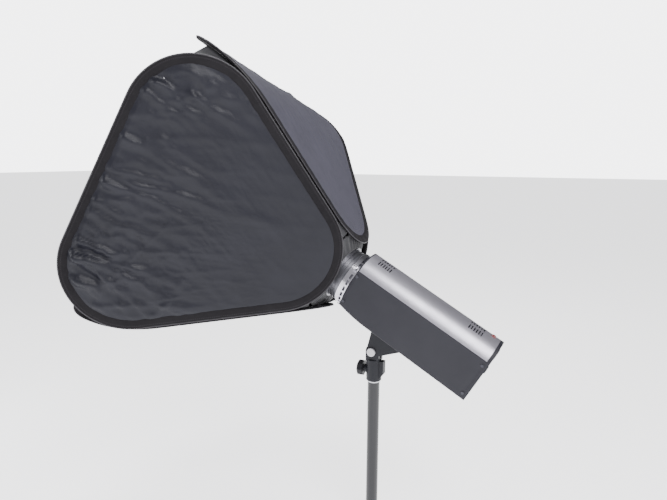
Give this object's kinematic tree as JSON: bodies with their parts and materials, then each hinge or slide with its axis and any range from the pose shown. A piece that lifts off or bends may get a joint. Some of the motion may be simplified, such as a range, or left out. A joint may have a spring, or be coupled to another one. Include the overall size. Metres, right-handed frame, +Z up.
{
  "type": "studio softbox on flash head",
  "caption": "Square pop-up softbox of sprung cloth panels on a studio flash head, with a tilting bracket on the top tube of a light stand.",
  "frame": {"origin": "centre of the stand tube's lower end", "axes": "+Z up along the stand tube; the light points towards -X and up; the near side of the head is -Y"},
  "size_m": [0.9766, 0.9058, 1.1782],
  "materials": {
    "black_anodised": "satin black anodised tube",
    "bright_steel": "bright zinc-plated steel",
    "black_plastic": "moulded black plastic",
    "black_casting": "black powder coat",
    "cream_plastic": "cream moulded plastic",
    "grey_paint": "dark grey textured paint",
    "satin_cover": "satin silver finish",
    "red_lens": "translucent red lens",
    "bright_plastic": "amber button",
    "chrome_ring": "polished chrome",
    "dark_ring": "dark satin anodised",
    "insert_alloy": "machined aluminium",
    "circuit": "glass-fibre board",
    "capacitor_sleeve": "shrink sleeve",
    "ceramic": "white ceramic",
    "lamp_glass": "clear glass",
    "grey_cloth": "coated nylon",
    "binding_tape": "woven binding tape",
    "spring_steel": "blue-grey spring steel",
    "silver_cloth": "silver-coated cloth",
    "black_cloth": "black stretch cloth",
    "white_cloth": "white diffusion cloth"
  },
  "bodies": {
    "stand": {"stand_tube": "black_anodised", "tube_plug": "black_plastic", "spigot": "bright_steel"},
    "bracket": {"stand_sleeve": "black_casting"},
    "sleeve_knob": {"sleeve_knob": "black_plastic", "lock_screw": "bright_steel"},
    "tilt_lever": {"tilt_lever": "black_plastic"},
    "head": {"yoke": "black_casting", "yoke_screws": "bright_steel", "friction_washers": "black_plastic", "tilt_bolt": "bright_steel", "tilt_cap": "cream_plastic", "chassis": "grey_paint", "side_screws": "bright_steel", "top_cover": "satin_cover", "slave_sensor": "red_lens", "front_plate": "grey_paint", "rear_panel": "grey_paint", "ready_lamp": "red_lens", "mains_inlet": "black_plastic", "sync_jack": "insert_alloy", "fan_frame": "black_plastic", "bulkhead": "circuit", "lamp_holder": "ceramic", "modelling_lamp": "lamp_glass", "flash_tube": "lamp_glass", "reflector_dish": "chrome_ring", "circuit_board": "circuit", "capacitors": "capacitor_sleeve", "mount_ring": "chrome_ring", "bayonet_socket": "dark_ring", "bayonet_insert": "insert_alloy"},
    "release_pin": {"release_pin": "bright_steel"},
    "power_dial": {"power_dial": "black_plastic"},
    "lamp_dial": {"lamp_dial": "black_plastic"},
    "test_button": {"test_button": "bright_plastic"},
    "power_rocker": {"power_rocker": "black_plastic"},
    "fan_rotor": {"fan_rotor": "black_plastic"},
    "softbox": {"speed_ring": "dark_ring", "clamp_ring": "dark_ring", "clamp_screws": "bright_steel", "rear_sleeve": "black_cloth", "silver_linings": "silver_cloth", "front_corner_gussets": "black_cloth", "rear_corner_gussets": "black_cloth", "front_diffuser": "white_cloth", "inner_baffle": "white_cloth", "baffle_straps": "black_cloth", "side_panel_near": "grey_cloth", "hoop_casing_near": "binding_tape", "spring_hoop_near": "spring_steel", "side_panel_top": "grey_cloth", "hoop_casing_top": "binding_tape", "spring_hoop_top": "spring_steel", "side_panel_far": "grey_cloth", "hoop_casing_far": "binding_tape", "spring_hoop_far": "spring_steel", "side_panel_bottom": "grey_cloth", "hoop_casing_bottom": "binding_tape", "spring_hoop_bottom": "spring_steel"}
  },
  "joints": [
    {"name": "bracket_swivel", "type": "hinge", "parent": "stand", "child": "bracket", "pos_m": [0, 0, 0.4], "axis": [0, 0, 1], "continuous": true},
    {"name": "head_tilt", "type": "hinge", "parent": "bracket", "child": "head", "pos_m": [0, 0, 0.45], "axis": [0, 1, 0], "range_deg": [-75, 54]},
    {"name": "knob_turn", "type": "hinge", "parent": "bracket", "child": "sleeve_knob", "pos_m": [-0.03, 0, 0.399], "axis": [-1, 0, 0], "range_deg": [0, 360]},
    {"name": "lever_turn", "type": "hinge", "parent": "head", "child": "tilt_lever", "pos_m": [0, 0.03, 0.45], "axis": [0, 1, 0], "range_deg": [-90, 90]},
    {"name": "softbox_turn", "type": "hinge", "parent": "head", "child": "softbox", "pos_m": [-0.07237, 0, 0.63265], "axis": [-0.866, 0, 0.5], "continuous": true},
    {"name": "release_pull", "type": "slide", "parent": "head", "child": "release_pin", "axis": [-0.5, 0, -0.866], "range_m": [0, 0.004], "stiffness_N_per_m": 400, "springref_m": -0.002},
    {"name": "power_turn", "type": "hinge", "parent": "head", "child": "power_dial", "pos_m": [0.29571, 0, 0.48019], "axis": [0.866, 0, -0.5], "range_deg": [-140, 140]},
    {"name": "lamp_turn", "type": "hinge", "parent": "head", "child": "lamp_dial", "pos_m": [0.28071, -0.036, 0.45421], "axis": [0.866, 0, -0.5], "range_deg": [-140, 140]},
    {"name": "test_press", "type": "slide", "parent": "head", "child": "test_button", "axis": [-0.866, 0, 0.5], "range_m": [0, 0.0025], "stiffness_N_per_m": 300, "springref_m": -0.002},
    {"name": "rocker_tip", "type": "hinge", "parent": "head", "child": "power_rocker", "pos_m": [0.23992, -0.032, 0.40155], "axis": [0, -1, 0], "range_deg": [0, 16]},
    {"name": "fan_spin", "type": "hinge", "parent": "head", "child": "fan_rotor", "pos_m": [0.24373, 0, 0.45016], "axis": [-0.866, 0, 0.5], "continuous": true}
  ]
}
